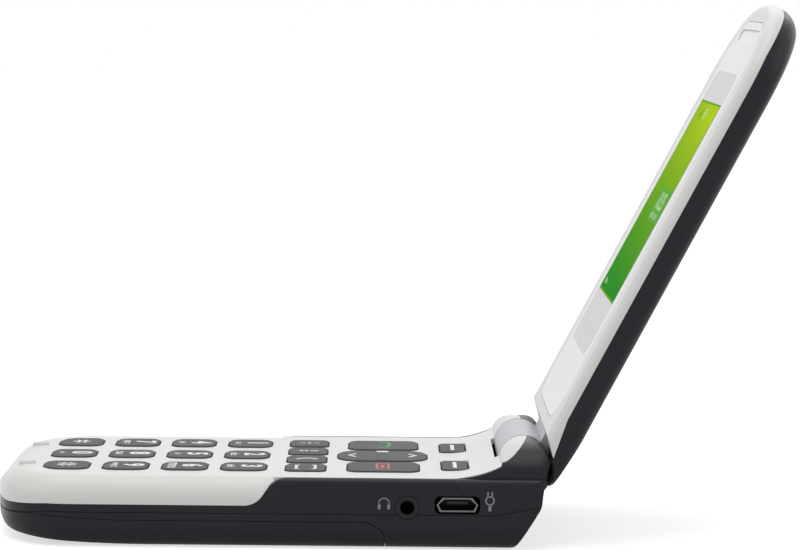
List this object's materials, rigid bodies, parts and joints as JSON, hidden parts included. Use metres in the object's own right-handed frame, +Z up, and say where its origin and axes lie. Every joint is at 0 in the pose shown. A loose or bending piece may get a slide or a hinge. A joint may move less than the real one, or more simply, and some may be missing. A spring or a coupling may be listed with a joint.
{
  "type": "flip phone",
  "caption": "Flip phone, open: number keypad with shortcut keys, call and end keys, rocker and soft keys; hinged lid with colour display and earpiece; sliding battery cover.",
  "frame": {"origin": "centre of the base's length and width, on the flat underside that it rests on", "axes": "+X from the keypad end to the hinge, +Y towards the user's left, +Z up out of the keys"},
  "size_m": [0.1468, 0.0525, 0.0986],
  "materials": {
    "white_shell": "smooth white moulding",
    "dark_shell": "satin dark blue grey",
    "key_plastic": "satin mid grey with pale legends",
    "hinge_plastic": "pale grey satin",
    "lens": "polished lens with a printed surround",
    "panel": "lit green picture",
    "soft_pad": "soft grey",
    "silicone": "translucent silicone",
    "foam": "black foam",
    "steel": "plain sheet and turned steel",
    "board": "green laminate",
    "film": "amber film",
    "battery_can": "wrapped can",
    "black_plastic": "black moulding",
    "bush_plastic": "hard grey"
  },
  "bodies": {
    "base": {"base_front_cover": "white_shell", "mid_frame": "dark_shell", "rear_housing": "dark_shell", "stop_pads": "soft_pad", "main_board": "board", "dome_sheet": "film", "key_mat": "silicone", "battery": "battery_can", "battery_contacts": "black_plastic", "sim_socket": "steel", "audio_jack": "black_plastic", "usb_shell": "steel", "usb_tongue": "black_plastic", "loudspeaker": "black_plastic", "microphone": "steel", "vibration_motor": "steel", "antenna": "black_plastic", "housing_screws": "steel", "side_switches": "film", "hinge_shaft": "steel", "pivot_bush": "bush_plastic", "base_flex": "film"},
    "lid": {"lid_front_cover": "white_shell", "lid_back_cover": "dark_shell", "display_window": "lens", "display_gasket": "foam", "display_panel": "panel", "display_tray": "steel", "lid_board": "board", "earpiece": "black_plastic", "earpiece_mesh": "white_shell", "hinge_barrel": "hinge_plastic", "hinge_cartridge": "steel", "lid_flex": "film", "closing_magnet": "steel", "lid_screws": "steel"},
    "key_1": {"key_1": "key_plastic"},
    "key_2": {"key_2": "key_plastic"},
    "key_3": {"key_3": "key_plastic"},
    "key_4": {"key_4": "key_plastic"},
    "key_5": {"key_5": "key_plastic"},
    "key_6": {"key_6": "key_plastic"},
    "key_7": {"key_7": "key_plastic"},
    "key_8": {"key_8": "key_plastic"},
    "key_9": {"key_9": "key_plastic"},
    "key_star": {"key_star": "key_plastic"},
    "key_0": {"key_0": "key_plastic"},
    "key_hash": {"key_hash": "key_plastic"},
    "shortcut_key_1": {"shortcut_key_1": "key_plastic"},
    "shortcut_key_2": {"shortcut_key_2": "key_plastic"},
    "shortcut_key_3": {"shortcut_key_3": "key_plastic"},
    "shortcut_key_4": {"shortcut_key_4": "key_plastic"},
    "call_key": {"call_key": "key_plastic"},
    "end_key": {"end_key": "key_plastic"},
    "left_soft_key": {"left_soft_key": "key_plastic"},
    "right_soft_key": {"right_soft_key": "key_plastic"},
    "nav_rocker": {"nav_rocker": "key_plastic"},
    "volume_rocker": {"volume_rocker": "dark_shell"},
    "battery_cover": {"battery_cover": "dark_shell"},
    "vibration_weight": {"vibration_weight": "steel"}
  },
  "joints": [
    {"name": "lid_hinge", "type": "hinge", "parent": "base", "child": "lid", "pos_m": [0.0467, 0, 0.0143], "axis": [0, -1, 0], "range_deg": [0, 117.74]},
    {"name": "key_1_press", "type": "slide", "parent": "base", "child": "key_1", "axis": [0, 0, -1], "range_m": [0, 0.0003], "stiffness_N_per_m": 3000},
    {"name": "key_2_press", "type": "slide", "parent": "base", "child": "key_2", "axis": [0, 0, -1], "range_m": [0, 0.0003], "stiffness_N_per_m": 3000},
    {"name": "key_3_press", "type": "slide", "parent": "base", "child": "key_3", "axis": [0, 0, -1], "range_m": [0, 0.0003], "stiffness_N_per_m": 3000},
    {"name": "key_4_press", "type": "slide", "parent": "base", "child": "key_4", "axis": [0, 0, -1], "range_m": [0, 0.0003], "stiffness_N_per_m": 3000},
    {"name": "key_5_press", "type": "slide", "parent": "base", "child": "key_5", "axis": [0, 0, -1], "range_m": [0, 0.0003], "stiffness_N_per_m": 3000},
    {"name": "key_6_press", "type": "slide", "parent": "base", "child": "key_6", "axis": [0, 0, -1], "range_m": [0, 0.0003], "stiffness_N_per_m": 3000},
    {"name": "key_7_press", "type": "slide", "parent": "base", "child": "key_7", "axis": [0, 0, -1], "range_m": [0, 0.0003], "stiffness_N_per_m": 3000},
    {"name": "key_8_press", "type": "slide", "parent": "base", "child": "key_8", "axis": [0, 0, -1], "range_m": [0, 0.0003], "stiffness_N_per_m": 3000},
    {"name": "key_9_press", "type": "slide", "parent": "base", "child": "key_9", "axis": [0, 0, -1], "range_m": [0, 0.0003], "stiffness_N_per_m": 3000},
    {"name": "key_star_press", "type": "slide", "parent": "base", "child": "key_star", "axis": [0, 0, -1], "range_m": [0, 0.0003], "stiffness_N_per_m": 3000},
    {"name": "key_0_press", "type": "slide", "parent": "base", "child": "key_0", "axis": [0, 0, -1], "range_m": [0, 0.0003], "stiffness_N_per_m": 3000},
    {"name": "key_hash_press", "type": "slide", "parent": "base", "child": "key_hash", "axis": [0, 0, -1], "range_m": [0, 0.0003], "stiffness_N_per_m": 3000},
    {"name": "shortcut_key_1_press", "type": "slide", "parent": "base", "child": "shortcut_key_1", "axis": [0, 0, -1], "range_m": [0, 0.0003], "stiffness_N_per_m": 3000},
    {"name": "shortcut_key_2_press", "type": "slide", "parent": "base", "child": "shortcut_key_2", "axis": [0, 0, -1], "range_m": [0, 0.0003], "stiffness_N_per_m": 3000},
    {"name": "shortcut_key_3_press", "type": "slide", "parent": "base", "child": "shortcut_key_3", "axis": [0, 0, -1], "range_m": [0, 0.0003], "stiffness_N_per_m": 3000},
    {"name": "shortcut_key_4_press", "type": "slide", "parent": "base", "child": "shortcut_key_4", "axis": [0, 0, -1], "range_m": [0, 0.0003], "stiffness_N_per_m": 3000},
    {"name": "call_key_press", "type": "slide", "parent": "base", "child": "call_key", "axis": [0, 0, -1], "range_m": [0, 0.0003], "stiffness_N_per_m": 3000},
    {"name": "end_key_press", "type": "slide", "parent": "base", "child": "end_key", "axis": [0, 0, -1], "range_m": [0, 0.0003], "stiffness_N_per_m": 3000},
    {"name": "left_soft_key_press", "type": "slide", "parent": "base", "child": "left_soft_key", "axis": [0, 0, -1], "range_m": [0, 0.0003], "stiffness_N_per_m": 3000},
    {"name": "right_soft_key_press", "type": "slide", "parent": "base", "child": "right_soft_key", "axis": [0, 0, -1], "range_m": [0, 0.0003], "stiffness_N_per_m": 3000},
    {"name": "nav_rocker_tilt", "type": "hinge", "parent": "base", "child": "nav_rocker", "pos_m": [0.02065, 0, 0.0114], "axis": [0, 1, 0], "range_deg": [-1.5, 1.5], "stiffness_Nm_per_rad": 0.3},
    {"name": "volume_rocker_tilt", "type": "hinge", "parent": "base", "child": "volume_rocker", "pos_m": [0.025, 0.0241, 0.0099], "axis": [0, 0, 1], "range_deg": [-1.5, 1.5], "stiffness_Nm_per_rad": 0.3},
    {"name": "battery_cover_slide", "type": "slide", "parent": "base", "child": "battery_cover", "axis": [-1, 0, 0], "range_m": [0, 0.075]},
    {"name": "vibration_spin", "type": "hinge", "parent": "base", "child": "vibration_weight", "pos_m": [0.032, 0.0206, 0.0039], "axis": [1, 0, 0], "continuous": true}
  ]
}
